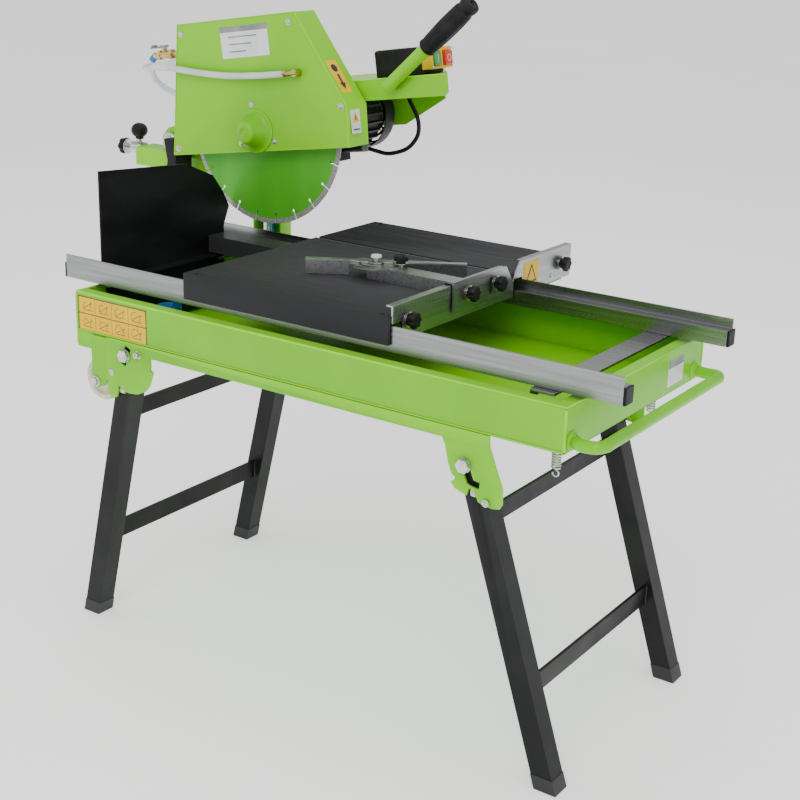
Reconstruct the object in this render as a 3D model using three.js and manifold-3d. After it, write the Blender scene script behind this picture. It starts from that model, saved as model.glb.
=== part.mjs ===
// Wet tile and stone saw on folding legs: water tub with two steel rails, a rolling table with an
// angle fence, and a pivoting cutting head with a direct-drive motor, blade, guard and water feed.
// Units are millimetres, +Z up, +X towards the operator's end, -Y the long side with the leg locks.
// The origin is the centre of the footprint box, on the floor.
import * as THREE from "three";
import { mergeVertices } from "three/addons/utils/BufferGeometryUtils.js";
import Module from "manifold-3d";

const wasm = await Module();
wasm.setup();

// ---- driving dimensions -------------------------------------------------------------------
const CX = -139.25, CY = 129.5; // centre of the footprint box in the tub's own frame
const TUB = { x: 481, y: 233, top: 620.5, pan: 550, sump: 521, sumpX: -312, wall: 2.5, lip: 22 };
const RAIL = { x0: -545, x1: 545, yo: 193, w: 24, z0: 626, z1: 652, up: 667.5, wall: 2.5 };
const TABLE = { x0: -261.5, x1: 154, y0: -199, y1: 345, top: 681.5, bot: 637, slotY: 163, slotW: 10, slotEnd: 122 };
const LEG = { s: 35, y: 211.5, pivL: [-363, 527], pivR: [322, 497], footL: -482, footR: 486.5 };
const HEAD = { x: -650, z: 808, tilt: 8.6, bx: 271, bz: 17.2 };
const BLADE = { y: 163, r: 175, core: 2.4, rim: 3.2 };
const MOTOR = { r: 66, y0: 203, y1: 452, fanY: 488 };
const ARM = { y0: 195.5, y1: 201.5, hoodY: 505, z0: 55, z1: 91.5 };

// ---- helpers ------------------------------------------------------------------------------
const rad = (d) => (d * Math.PI) / 180;
function solid(geometry) {
  const g = geometry.clone();
  for (const a of Object.keys(g.attributes)) if (a !== "position") g.deleteAttribute(a);
  const m = mergeVertices(g, 1e-4);
  return new wasm.Manifold(new wasm.Mesh({ numProp: 3, vertProperties: m.attributes.position.array, triVerts: new Uint32Array(m.index.array) }));
}
const at = (g, x, y, z) => g.translate(x, y, z);
const box = (x0, x1, y0, y1, z0, z1) => solid(at(new THREE.BoxGeometry(x1 - x0, y1 - y0, z1 - z0), (x0 + x1) / 2, (y0 + y1) / 2, (z0 + z1) / 2));
const cylY = (x, z, r, y0, y1, n = 20, r2 = r) => solid(at(new THREE.CylinderGeometry(r2, r, y1 - y0, n), x, (y0 + y1) / 2, z));
const cylX = (y, z, r, x0, x1, n = 20) => solid(at(new THREE.CylinderGeometry(r, r, x1 - x0, n).rotateZ(-Math.PI / 2), (x0 + x1) / 2, y, z));
const cylZ = (x, y, r, z0, z1, n = 20, r2 = r) => solid(at(new THREE.CylinderGeometry(r2, r, z1 - z0, n).rotateX(Math.PI / 2), x, y, (z0 + z1) / 2));
const shapeOf = (pts) => new THREE.Shape(pts.map((p) => new THREE.Vector2(p[0], p[1])));
// outline in X-Z, thickness along Y from y0 to y1
const plateXZ = (pts, y0, y1) => solid(new THREE.ExtrudeGeometry(shapeOf(pts), { depth: y1 - y0, bevelEnabled: false }).rotateX(Math.PI / 2).translate(0, y1, 0));
// outline in X-Y, thickness along Z
const plateXY = (pts, z0, z1) => solid(new THREE.ExtrudeGeometry(shapeOf(pts), { depth: z1 - z0, bevelEnabled: false }).translate(0, 0, z0));
// outline in Y-Z, thickness along X
const plateYZ = (pts, x0, x1) => solid(new THREE.ExtrudeGeometry(shapeOf(pts), { depth: x1 - x0, bevelEnabled: false }).rotateX(Math.PI / 2).rotateZ(Math.PI / 2).translate(x0, 0, 0));
const lathe = (pts, n = 24) => solid(new THREE.LatheGeometry(pts.map((p) => new THREE.Vector2(p[0], p[1])), n));
const move = (m, x, y, z) => m.translate([x, y, z]);
const union = (...s) => s.reduce((a, b) => a.add(b));
function rod(pts, r, steps = 24, sides = 10, tension = 0.5) {
  const c = new THREE.CatmullRomCurve3(pts.map((p) => new THREE.Vector3(...p)), false, "catmullrom", tension);
  const s = new THREE.Shape();
  for (let i = 0; i < sides; i++) {
    const a = (i / sides) * 2 * Math.PI;
    i ? s.lineTo(r * Math.cos(a), r * Math.sin(a)) : s.moveTo(r, 0);
  }
  return solid(new THREE.ExtrudeGeometry(s, { steps, bevelEnabled: false, extrudePath: c }));
}
// square tube leg between two points in the X-Z plane
function bar(x0, z0, x1, z1, s, y0, y1) {
  const l = Math.hypot(x1 - x0, z1 - z0), ux = (x1 - x0) / l, uz = (z1 - z0) / l, h = s / 2;
  return plateXZ([[x0 - uz * h, z0 + ux * h], [x1 - uz * h, z1 + ux * h], [x1 + uz * h, z1 - ux * h], [x0 + uz * h, z0 - ux * h]].reverse(), y0, y1);
}
const lerp = (a, b, t) => a + (b - a) * t;

const MAT = {
  green: [0x7dc815, 0.35, 0.0], dark: [0x1d1e20, 0.55, 0.0], steel: [0xb9bbbd, 0.35, 0.9], alu: [0xc9cbcc, 0.4, 0.8],
  rubber: [0x161617, 0.85, 0.0], yellow: [0xf4b400, 0.45, 0.0], red: [0xd83a2c, 0.45, 0.0], grn: [0x3f9b46, 0.45, 0.0],
  cream: [0xe6dfc4, 0.5, 0.0], brass: [0xc8a24a, 0.35, 0.9], hose: [0xdfe6e8, 0.2, 0.0], blue: [0x2b7fc4, 0.5, 0.0], core: [0x6fce46, 0.4, 0.1],
};
const frame = new THREE.Group();
frame.position.set(-CX, -CY, 0);
const head = new THREE.Group();
head.position.set(HEAD.x, 0, HEAD.z);
head.rotation.y = -rad(HEAD.tilt);
frame.add(head);
function node(name, m, mat, parent = frame) {
  const mesh = m.getMesh();
  const g = new THREE.BufferGeometry();
  g.setAttribute("position", new THREE.BufferAttribute(new Float32Array(mesh.vertProperties), 3));
  g.setIndex(new THREE.BufferAttribute(new Uint32Array(mesh.triVerts), 1));
  g.computeVertexNormals();
  const [color, roughness, metalness] = MAT[mat];
  const o = new THREE.Mesh(g, new THREE.MeshStandardMaterial({ color, roughness, metalness }));
  o.name = name;
  parent.add(o);
}

// ---- water tub: shallow pan with a deeper sump at the head end -----------------------------
{
  const { x, y, top, pan, sump, sumpX, wall: w, lip } = TUB;
  const outer = box(-x, x, -y, y, pan, top).add(box(-x, sumpX, -178, 178, sump, pan + 1));
  const inner = box(-x + w, x - w, -y + w, y - w, pan + w, top + 5).add(box(-x + w, sumpX - w, -178 + w, 178 - w, sump + w, pan + w + 1));
  let tub = outer.subtract(inner);
  // apron that hides the sump at the head end
  tub = tub.add(box(-x, -x + w, -y, y, sump, pan + 1)).add(box(-x, -409, -y, -y + w, sump, pan + 1)).add(box(-x, -409, y - w, y, sump, pan + 1));
  // rolled rim, folded inwards all round
  tub = tub.add(box(-x, x, -y, y, top - 4, top).subtract(box(-x + 4, x - lip, -y + lip, y - lip, top - 6, top + 2)));
  node("water_tub", tub, "green");
}
// ---- leg lock plates, front and rear -------------------------------------------------------
const wheel = { x: -436, z: 466.5 };
function legPlate(y0, y1, stud0, stud1) {
  const left = [[-407, 551], [-407, 452], [-403, 446], [-388, 446], [-383.5, 456], [-382, 468], [-371, 468], [-369, 461.5], [-356, 460], [-338, 462], [-320, 470], [-309, 482], [-300, 507], [-305.5, 511.5], [-305.5, 532]];
  const right = [[281, 532], [287, 520], [293, 495], [299.5, 479], [306, 474], [305, 469], [298.5, 465.5], [307, 457], [315.5, 453.5], [328, 450.5], [331, 462], [342, 462], [344, 454], [347.5, 445.5], [354, 443], [373, 440.5], [384, 442.7], [388.5, 450.5], [387.5, 475], [363, 533], [361.5, 551]];
  let p = plateXZ([...left, ...right], y0, y1);
  // wheel carrier lug
  p = p.add(plateXZ([[-444.5, 549], [-444.5, 470], [-443, 459], [-433, 455], [-418, 460.5], [-406, 476], [-406, 549]], y0, y1));
  // locking slots that the pivot bolts slide in
  p = p.subtract(bar(-356.6, 542, -370, 510, 13.4, y0 - 2, y1 + 2)).subtract(bar(318.2, 506.5, 334, 471, 13.6, y0 - 2, y1 + 2)).subtract(bar(331, 473, 349, 470, 11, y0 - 2, y1 + 2));
  // wheel stud, lower stop pin
  p = p.add(cylY(wheel.x, wheel.z, 6, stud0, stud1, 14)).add(cylY(362.5, 447.5, 4, y0 - 3, y1 + 3, 10));
  return p;
}
node("front_leg_plate", legPlate(-237, -233.3, -239, -190), "green");
node("rear_leg_plate", legPlate(233.3, 237, 190, 239), "green");
for (const [n, s] of [["front", -1], ["rear", 1]]) {
  const w = lathe([[6.4, -13], [20, -13], [22, -10], [34.5, -11], [38.5, -7], [38.5, 7], [34.5, 11], [22, 10], [20, 13], [6.4, 13], [6.4, -13]], 24);
  node("transport_wheel_" + n, move(w, wheel.x, s * 212, wheel.z), "cream");
}
// ---- carry handle at the operator's end ----------------------------------------------------
node("carry_handle", rod([[487, -214, 566], [500, -222, 566], [524, -222, 568], [533, -210, 569], [533, -190, 569], [533, 0, 569], [533, 165, 569], [533, 183, 569], [525, 197, 568], [504, 202, 566], [487, 204, 566]], 9.5, 34, 10, 0.3), "green");
// ---- rails ---------------------------------------------------------------------------------
for (const [n, s] of [["front", -1], ["rear", 1]]) {
  const { x0, x1, yo, w, z0, z1, up, wall } = RAIL;
  const p = [[s * yo, z0], [s * yo, up], [s * (yo - 3), up], [s * (yo - 3), z1], [s * (yo - w), z1], [s * (yo - w), z0]];
  const i = [[s * (yo - wall), z0 + wall], [s * (yo - wall), z1 - wall], [s * (yo - w + wall), z1 - wall], [s * (yo - w + wall), z0 + wall]];
  const o = (q) => (s < 0 ? q.slice().reverse() : q);
  node(n + "_rail", plateYZ(o(p), x0, x1).subtract(plateYZ(o(i), x0 - 5, x1 + 5)), "steel");
  const cap = box(x1 + 0.3, x1 + 4.5, Math.min(s * yo, s * (yo - w)), Math.max(s * yo, s * (yo - w)), z0, z1).add(box(x1 - 14, x1 + 1, Math.min(s * (yo - 3.2), s * (yo - w + 3.2)), Math.max(s * (yo - 3.2), s * (yo - w + 3.2)), z0 + 3.2, z1 - 3.2));
  node("rail_cap_" + n, cap, "rubber");
}
for (const [n, x] of [["right", 425]])
  node("rail_tie_" + n, box(x - 20, x + 20, -205, 205, 621, 625.7).add(box(x - 20, x - 16, -205, 205, 612, 622)), "steel");
// ---- pump in the sump ----------------------------------------------------------------------
node("water_pump", union(box(-405, -335, -150, -90, 526, 572), cylZ(-370, -120, 22, 571, 590, 18), cylZ(-352, -120, 7, 589, 604, 12)), "blue");
// ---- splash sheet and the fixed splash beam beside the blade ------------------------------
{
  const pts = [[-166, 529], [-166, 656], [-177, 656], [-177, 820], [-88, 815], [40, 806], [112, 776], [140, 742], [157, 712], [141, 676], [141, 529]];
  node("splash_sheet", plateYZ(pts, -475, -471).add(box(-472, -450, -165, 100, 627, 630)), "rubber");
  node("splash_beam", box(-470, -240, 96, 99, 632, 664).add(box(-470, -240, 96, 152, 661, 664)).add(box(-470, -440, 98, 141, 632, 635)), "dark");
}
// ---- column, fixed pivot arm, pivot shaft --------------------------------------------------
{
  // open U channel with two stays to the tub's rear wall
  const col = box(-541, -468, 310, 343, 470, 748).subtract(box(-537.5, -471.5, 300, 339.5, 460, 760));
  node("column", col.add(box(-541, -537.5, 237.4, 312, 556, 606)).add(box(-471.5, -468, 237.4, 312, 556, 606)).add(box(-541, -443, 237.4, 241, 556, 606)).add(box(-538, -471, 318, 340, 738, 742)), "green");
  let arm = box(-765, -466, 208, 262, 748.3, 785).add(box(-543, -466, 261, 345, 748.3, 785));
  arm = arm.subtract(box(-762, -469, 211, 259, 751.3, 782)).subtract(box(-540, -469, 250, 352, 751.3, 782));
  node("pivot_arm", arm.add(box(-680, -620, 216, 254, 784, 832)).subtract(cylY(HEAD.x, HEAD.z, 13.4, 200, 270, 24)), "green");
}
node("pivot_shaft", cylY(HEAD.x, HEAD.z, 13, 190, 268, 24).add(cylY(HEAD.x, HEAD.z, 20, 268, 274, 6)), "steel");
node("stop_cylinder", cylX(235, 777, 13, -795, -765.3, 16).add(cylX(235, 777, 5, -824, -795, 10)).add(cylZ(-779, 235, 5, 789, 800, 10)), "steel");
const star = (r, h, n = 24) => {
  const s = [];
  for (let i = 0; i < n; i++) { const a = (i / n) * 2 * Math.PI; const q = r * (i % 4 < 2 ? 1 : 0.84); s.push([q * Math.cos(a), q * Math.sin(a)]); }
  return plateXY(s, 0, h);
};
node("stop_star_knob", star(17, 16).subtract(cylZ(0, 0, 5.4, -2, 14, 14)).rotate([0, -90, 0]).translate([-812, 235, 777]), "rubber");
node("lock_ball_knob", lathe([[5.4, 0], [8, 0], [8, 3], [15, 9], [17, 18], [12, 28], [0, 32], [0, 12], [5.4, 12], [5.4, 0]], 18).rotate([90, 0, 0]).translate([-779, 235, 796]), "rubber");

// ---- leg frames ----------------------------------------------------------------------------
function legFrame(piv, foot, up, lo) {
  const [px, pz] = piv, s = LEG.s, ang = Math.atan2(pz, foot - px);
  const dx = (foot - px) / pz;
  const X = (z) => px + dx * (pz - z);
  let m;
  for (const sg of [-1, 1]) {
    const yA = Math.min(sg * (LEG.y - s / 2), sg * (LEG.y + s / 2)), yB = yA + s;
    let t = bar(px - dx * 12, pz + 12, X(-20), -20, s / Math.sqrt(1 + dx * dx) * Math.sqrt(1 + dx * dx), yA, yB);
    const ci = bar(px - dx * 40, pz + 40, X(-40), -40, s - 5, yA + 2.5, yB - 2.5);
    t = t.subtract(ci).intersect(box(-900, 900, -300, 300, 4, 560));
    // closed foot plug
    t = t.add(bar(X(30), 30, X(-20), -20, s + 1.5, yA - 0.8, yB + 0.8).intersect(box(-900, 900, -300, 300, 0, 24)));
    m = m ? m.add(t) : t;
  }
  const y0 = -LEG.y + s / 2 - 2, y1 = -y0;
  m = m.add(bar(X(up) , up + 15, X(up), up - 15, 6, y0, y1)).add(bar(X(lo), lo + 17, X(lo), lo - 17, 6, y0, y1));
  return m;
}
const legs = { left: legFrame(LEG.pivL, LEG.footL, 415, 166), right: legFrame(LEG.pivR, LEG.footR, 412, 152) };
for (const [n, [px, pz]] of [["left", LEG.pivL], ["right", LEG.pivR]]) {
  for (const sg of [-1, 1]) legs[n] = legs[n].subtract(cylY(px, pz, 6.4, Math.min(sg * 180, sg * 240), Math.max(sg * 180, sg * 240), 16));
  node(n + "_leg_frame", legs[n], "dark");
  for (const [f, sg] of [["front", -1], ["rear", 1]]) {
    const a = (y0, y1, r, k) => cylY(px, pz, r, Math.min(sg * y0, sg * y1), Math.max(sg * y0, sg * y1), k);
    node(n + "_pivot_bolt_" + f, union(a(188, 239, 6, 16), a(184, 190, 10, 6), a(237.6, 239.6, 12, 20), a(239.4, 246, 10, 6)), "steel");
  }
}
// ---- rolling table -------------------------------------------------------------------------
{
  const { x0, x1, y0, y1, top, bot, slotY, slotW, slotEnd } = TABLE;
  let t = box(x0, x1, y0, y1, bot, top).subtract(box(x0 - 5, x1 - 3, y0 + 3, y1 - 3, bot - 5, top - 4));
  t = t.add(box(x0, x0 + 3, slotY + 40, y1, bot + 6, top)); // rear part's left end
  t = t.subtract(box(x0 - 5, slotEnd, slotY - slotW / 2, slotY + slotW / 2, bot - 5, top + 5));
  // clearance for the rails under the end skirt
  for (const s of [-1, 1]) { const a = s * (RAIL.yo + 1.2), b = s * (RAIL.yo - RAIL.w - 3); t = t.subtract(box(x1 - 8, x1 + 5, Math.min(a, b), Math.max(a, b), bot - 5, RAIL.up + 3)); }
  // roller hangers
  for (const x of [-215, 105]) for (const s of [-1, 1]) {
    const p = (q, r) => [Math.min(s * q, s * r), Math.max(s * q, s * r)];
    t = t.add(box(x - 12, x + 12, ...p(168.4, 171), 656, top - 3)).add(cylY(x, 664, 3, ...p(169, 188), 10));
  }
  node("table_top", t, "dark");
  for (const [n, x] of [["left", -215], ["right", 105]]) for (const [f, s] of [["front", -1], ["rear", 1]])
    node("roller_" + f + "_" + n, cylY(x, 664, 11.7, s * (RAIL.yo - 14) - 7, s * (RAIL.yo - 14) + 7, 20).subtract(cylY(x, 664, 3.4, -300, 300, 12)), "steel");
}
// ---- angle fence on the operator's edge ---------------------------------------------------
{
  const z0 = 640.5, z1 = 699, x0 = 154.4, x1 = 158;
  let f = plateYZ([[-194, z0], [-194, z1], [140, z1], [163, 668], [186, z1], [368, z1], [368, z0]].reverse(), x0, x1);
  f = f.add(box(x0 - 9, x1, -194, 133, z1 - 3, z1)).add(box(x0 - 9, x1, 193, 368, z1 - 3, z1));
  for (const s of [-1, 1]) { const a = s * (RAIL.yo + 1.4), b = s * (RAIL.yo - RAIL.w - 3); f = f.subtract(box(x0 - 8, x1 + 5, Math.min(a, b), Math.max(a, b), z0 - 5, RAIL.up + 3)); }
  for (const y of [-150, 333]) f = f.add(cylX(y, 669, 5, x1 - 1, x1 + 14, 12));
  node("fence", f, "alu");
  const knob = (n, x, y, z, r = 13.5) => node(n, star(r, 14).subtract(cylZ(0, 0, 5.5, -1, 12, 14)).rotate([0, 90, 0]).translate([x, y, z]), "rubber");
  knob("fence_knob_front", 160, -150, 669);
  knob("fence_knob_rear", 160, 333, 669);
  // mitre gauge: channel arm hooked over the fence with a slotted clamp plate, protractor, swinging rule
  let g = box(-8, 162, -32, 4, 682, 704).subtract(box(-12, 165, -29.5, 1.5, 680, 701.5)).subtract(box(144.6, 159.5, -40, 12, 670, 701));
  g = g.add(box(160, 163, -32, 118, 654, 704)).subtract(box(158, 165, 78, 86, 664, 692));
  g = g.add(cylZ(-2, -14, 44, 704, 706.5, 32).intersect(box(-60, 60, -70, 4, 700, 710))).add(cylZ(-2, -14, 4, 704, 716, 12)).add(cylZ(-2, -14, 9, 716, 720, 16)).add(cylZ(38, 0, 4, 703.5, 718, 12));
  for (const [y, z] of [[14, 679], [100, 679]]) g = g.add(cylX(y, z, 5, 162.5, 177, 12));
  node("gauge_arm", g, "alu");
  knob("clamp_knob_front", 165, 14, 679);
  knob("clamp_knob_rear", 165, 100, 679);
  const r = box(-118, 150, 0, 3, 682, 707.2).add(box(-118, 150, -9, 3, 707.2, 710)).subtract(box(-150, 200, -20, 20, 681, 682.4));
  const rr = r.subtract(box(-34, 34, -60, 10, 680, 707)).add(box(-34, 34, -14, 3, 707.2, 710)).add(cylZ(0, -9, 14, 707.2, 710, 20)).subtract(cylZ(0, -9, 4.5, 700, 715, 14));
  const c = Math.cos(rad(32)), s = Math.sin(rad(32));
  // keep the rule clear of the channel arm: only its two blades stand beside it
  node("gauge_rule", rr.translate([0, 9, 0]).rotate([0, 0, 32]).translate([-2, -14, 0]).subtract(box(-10, 172, -34, 6, 680, 706.9)).subtract(cylZ(38, 0, 14, 706.8, 720, 20)).subtract(cylZ(-2, -14, 46, 680, 706.9, 32)), "alu");
  node("gauge_knob", star(13, 11).subtract(cylZ(0, 0, 4.5, -1, 9, 12)).translate([38, 0, 710.9]), "rubber");
}
// ---- cutting head (level frame, tilted by the group) ---------------------------------------
{
  const { bx, bz } = HEAD, H = head;
  const P = [[59.4, -20.5], [481.6, -20.5], [486, 51], [390.6, 220], [110.3, 220]];
  const off = (k) => { // inset outline
    const c = [290, 100];
    return P.map(([x, z]) => [x + (x < c[0] ? k : -k), z + (z < 0 ? -6 : z > 200 ? -k : 0)]);
  };
  let guard = plateXZ(P, 133, 191).subtract(plateXZ(off(2.5), 135.5, 188.5));
  guard = guard.subtract(cylY(bx, bz, 46, 187, 193, 28)).subtract(cylY(bx, bz, 30, 131, 137, 24));
  node("blade_guard", guard, "green", H);
  node("hub_cover", move(lathe([[0, 0], [40, 0], [40, 2.5], [34, 2.7], [20, 32], [18, 33.5], [0, 33.5], [0, 0]].map(([r, y]) => [r, y]), 28).rotate([180, 0, 0]), bx, 132.6, bz), "green", H);
  // blade with key-hole gullets
  let b = cylY(bx, bz, 165, BLADE.y - BLADE.core / 2, BLADE.y + BLADE.core / 2, 66);
  b = b.add(cylY(bx, bz, BLADE.r, BLADE.y - BLADE.rim / 2, BLADE.y + BLADE.rim / 2, 66).subtract(cylY(bx, bz, 164, 150, 180, 66)));
  for (let i = 0; i < 22; i++) {
    const g = box(159.5, 180, 150, 176, -1.5, 1.5).rotate([0, (i + 0.5) * 360 / 22, 0]).translate([bx, 0, bz]);
    b = b.subtract(g);
  }
  node("blade", b.subtract(cylY(bx, bz, 12.9, 150, 176, 20)), "core", H);
  node("outer_flange", cylY(bx, bz, 38, 154, 161.5, 28).add(cylY(bx, bz, 15, 149, 154.2, 6)).subtract(cylY(bx, bz, 12.8, 145, 165, 20)), "steel", H);
  node("spindle", union(cylY(bx, bz, 12.5, 147, 470, 20), cylY(bx, bz, 38, 164.5, 172, 28), cylY(bx, bz, 20, 171, 190, 20)), "steel", H);
  // motor: finned housing, fan cover
  let mo = cylY(bx, bz, MOTOR.r - 7, MOTOR.y0, MOTOR.y1, 32);
  for (let i = 0; i < 24; i++) { if (i === 6) continue; mo = mo.add(box(MOTOR.r - 10, MOTOR.r, MOTOR.y0 + 18, MOTOR.y1 - 6, -1.6, 1.6).rotate([0, i * 15, 0]).translate([bx, 0, bz])); }
  mo = mo.add(cylY(bx, bz, MOTOR.r, MOTOR.y0, MOTOR.y0 + 14, 32)).add(box(bx - 34, bx + 40, 290, 360, bz - 80, bz - 40)).add(cylX(330, -38, 9, bx + 39, 368, 12));
  mo = mo.subtract(cylY(bx, bz, 12.9, 200, MOTOR.y0 + 20, 20)).subtract(cylY(bx, bz, 44, MOTOR.y0 + 12, MOTOR.y1 - 12, 28)).subtract(cylY(bx, bz, 12.9, MOTOR.y1 - 14, MOTOR.y1 + 5, 20));
  node("motor_housing", mo, "dark", H);
  node("motor_rotor", cylY(bx, bz, 38, 235, 420, 28).subtract(cylY(bx, bz, 12.8, 230, 430, 20)), "steel", H);
  node("motor_fan_cover", cylY(bx, bz, MOTOR.r + 2, MOTOR.y1 + 0.3, MOTOR.fanY, 32, MOTOR.r + 2).subtract(cylY(bx, bz, MOTOR.r - 1, MOTOR.y1 - 2, MOTOR.fanY - 3, 32)).subtract(cylY(bx, bz, 24, MOTOR.fanY - 6, MOTOR.fanY + 4, 24)), "rubber", H);
  // swing arm: plate from the pivot to the motor face, hood flanges over the motor
  const { y0, y1, hoodY, z0, z1 } = ARM;
  let a = plateXZ([[-26, -10], [-12, -26], [12, -28], [190, -50], [271, -62], [350, -50], [372, 10], [400, z0], [650, z0], [656, z0 + 6], [656, z1], [200, z1], [60, 40], [-8, 28], [-26, 12]], y0, y1);
  a = a.add(plateXY([[205, y0], [656, y0], [656, y0 + 6], [452, hoodY], [205, hoodY]], z1 - 2.5, z1));
  a = a.add(plateXZ([[205, -12], [349, -12], [449, 34], [452, z1], [205, z1]], hoodY - 2.5, hoodY));
  a = a.subtract(cylY(0, 0, 13.4, y0 - 3, y1 + 3, 24)).subtract(cylY(bx, bz, 24, y0 - 3, y1 + 3, 24));
  node("swing_arm", a, "green", H);
  // switch box and no-volt switch
  node("switch_box", box(487, 584, 228, 300, z1 + 0.3, z1 + 46).subtract(box(490, 576, 231, 297, z1 - 2, z1 + 43)), "dark", H);
  node("switch_housing", box(584.3, 606, 231, 297, z1 + 8, z1 + 45).subtract(box(593.8, 610, 238, 260, z1 + 13, z1 + 38)).subtract(box(593.8, 610, 266, 290, z1 + 13, z1 + 38)), "yellow", H);
  node("start_button", box(598.4, 609, 238.5, 259.5, z1 + 13.5, z1 + 37.5), "grn", H);
  node("stop_button", box(598.4, 613, 266.5, 289.5, z1 + 13.5, z1 + 37.5), "red", H);
  // feed handle
  const hx0 = 549, hz0 = 81.5, hx1 = 721, hz1 = 197, hy = 181, L = Math.hypot(hx1 - hx0, hz1 - hz0), an = THREE.MathUtils.radToDeg(Math.atan2(hz1 - hz0, hx1 - hx0));
  const tube = cylX(0, 0, 11.5, -8, 96, 20).add(cylX(0, 0, 8, 95, L - 8, 14)).rotate([0, -an, 0]).translate([hx0, hy, hz0]).subtract(box(400, 700, 195.2, 230, 0, 200));
  node("feed_handle", tube, "green", H);
  const grip = lathe([[8.4, 0], [14, 0], [16.5, 4], [16, 14], [18, 50], [17.5, 90], [15.5, 106], [17, 112], [16, 120], [0, 121], [0, 112], [8.4, 112], [8.4, 0]], 20);
  node("handle_grip", grip.rotate([0, 0, -90]).translate([97, 0, 0]).rotate([0, -an, 0]).translate([hx0, hy, hz0]), "rubber", H);
  // water valve on the guard's rear upper corner
  node("water_valve", union(cylX(206, 168, 8, -16, 20, 16), cylZ(0, 206, 5.5, 168, 181, 12), cylX(206, 168, 5, -26, 122, 12), box(106, 124, 191.3, 207, 160, 176), box(56, 66, 203, 209, 150, 168), cylX(206, 152, 5, 44, 62, 12)), "brass", H);
  node("valve_lever", box(-32, 8, 201, 211, 181.4, 184.4).add(box(-7, 7, 200, 212, 181.4, 186.4)), "alu", H);
  node("front_nozzle", cylY(388, 115, 7, 117, 132.7, 6).add(cylX(120, 115, 4.5, 366, 393, 10)), "brass", H);
  // splash flap behind the blade
  const flap = plateXZ([[56, 10], [30, 12], [32, -30], [22, -62], [2, -92], [34, -92], [50, -62], [56, -26]].reverse(), 140, 186);
  node("splash_flap", flap, "rubber", H);
  // motor lead, front water hose, feed hose
  node("motor_lead", rod([[474, 330, 88.4], [477, 330, 64], [486.3, 330, 38.7], [497.5, 330, 12.7], [497.9, 330, -11.6], [487, 330, -30.2], [463.4, 330, -45.8], [424.8, 330, -52], [396, 330, -46], [370, 330, -38]], 4, 36, 8), "rubber", H);
  node("front_hose", rod([[43, 206, 152], [20, 203, 151], [-2, 190, 149], [-9, 168, 148], [2, 145, 147], [28, 128, 147], [63, 121.5, 146], [105, 121, 140], [165, 121, 129], [230, 121, 120], [300, 120.5, 116], [365, 120, 115]], 6, 44, 10), "hose", H);
}
export default frame;
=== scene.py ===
import bpy, bmesh, math, random
from mathutils import Vector, Matrix

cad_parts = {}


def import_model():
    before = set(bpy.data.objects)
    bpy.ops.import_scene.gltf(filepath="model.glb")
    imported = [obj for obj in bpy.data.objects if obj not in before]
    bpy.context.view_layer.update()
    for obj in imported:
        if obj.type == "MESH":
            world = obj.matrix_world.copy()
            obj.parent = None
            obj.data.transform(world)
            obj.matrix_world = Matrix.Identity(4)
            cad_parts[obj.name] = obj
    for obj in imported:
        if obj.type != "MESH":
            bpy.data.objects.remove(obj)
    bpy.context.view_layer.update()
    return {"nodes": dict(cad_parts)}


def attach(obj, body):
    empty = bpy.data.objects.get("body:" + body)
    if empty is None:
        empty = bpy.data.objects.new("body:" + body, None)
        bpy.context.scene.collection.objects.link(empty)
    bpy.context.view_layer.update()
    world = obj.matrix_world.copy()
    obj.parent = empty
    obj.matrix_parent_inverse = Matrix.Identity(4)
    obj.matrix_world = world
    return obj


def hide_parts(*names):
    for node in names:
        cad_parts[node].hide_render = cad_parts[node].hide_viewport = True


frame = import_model()
CX, CY = -139.25, 129.5
TILT = math.radians(8.6)
CT, ST = math.cos(TILT), math.sin(TILT)
random.seed(7)
SC = bpy.context.scene.collection


def D(x, y, z):
    return Vector(((x - CX) / 1000, (y - CY) / 1000, z / 1000))


def HD(x, y, z):
    return D(-650 + x * CT - z * ST, y, 808 + x * ST + z * CT)


MF = Matrix.Translation(D(0, 0, 0)) @ Matrix.Scale(0.001, 4)
MH = Matrix.Translation(D(-650, 0, 808)) @ Matrix.Rotation(-TILT, 4, 'Y') @ Matrix.Scale(0.001, 4)

# ------------------------------------------------------------------ cords and camera
LEAD = [[474, 330, 88.4], [477, 330, 64], [486.3, 330, 38.7], [497.5, 330, 12.7], [497.9, 330, -11.6], [487, 330, -30.2], [463.4, 330, -45.8], [424.8, 330, -52], [396, 330, -46], [370, 330, -38]]
HOSE = [[43, 206, 152], [20, 203, 151], [-2, 190, 149], [-9, 168, 148], [2, 145, 147], [28, 128, 147], [63, 121.5, 146], [105, 121, 140], [165, 121, 129], [230, 121, 120], [300, 120.5, 116], [365, 120, 115]]
FEED = [[-22, 206, 168], [-34, 206, 163], [-42, 206.5, 148], [-38, 207, 128], [-22, 208, 110], [4, 209, 96], [34, 209.5, 78], [60, 209.5, 52], [72, 209.5, 22]]


def catmull(pts, per=10, tension=0.5):
    p = [Vector(q) for q in pts]
    out = []
    n = len(p)
    for i in range(n - 1):
        a = p[i - 1] if i > 0 else p[0] * 2 - p[1]
        b, c = p[i], p[i + 1]
        d = p[i + 2] if i + 2 < n else p[-1] * 2 - p[-2]
        t0, t1 = (c - a) * tension, (d - b) * tension
        for k in range(per):
            t = k / per
            t2, t3 = t * t, t * t * t
            out.append(b * (2 * t3 - 3 * t2 + 1) + t0 * (t3 - 2 * t2 + t) + c * (-2 * t3 + 3 * t2) + t1 * (t3 - t2))
    out.append(p[-1])
    return out


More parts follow.
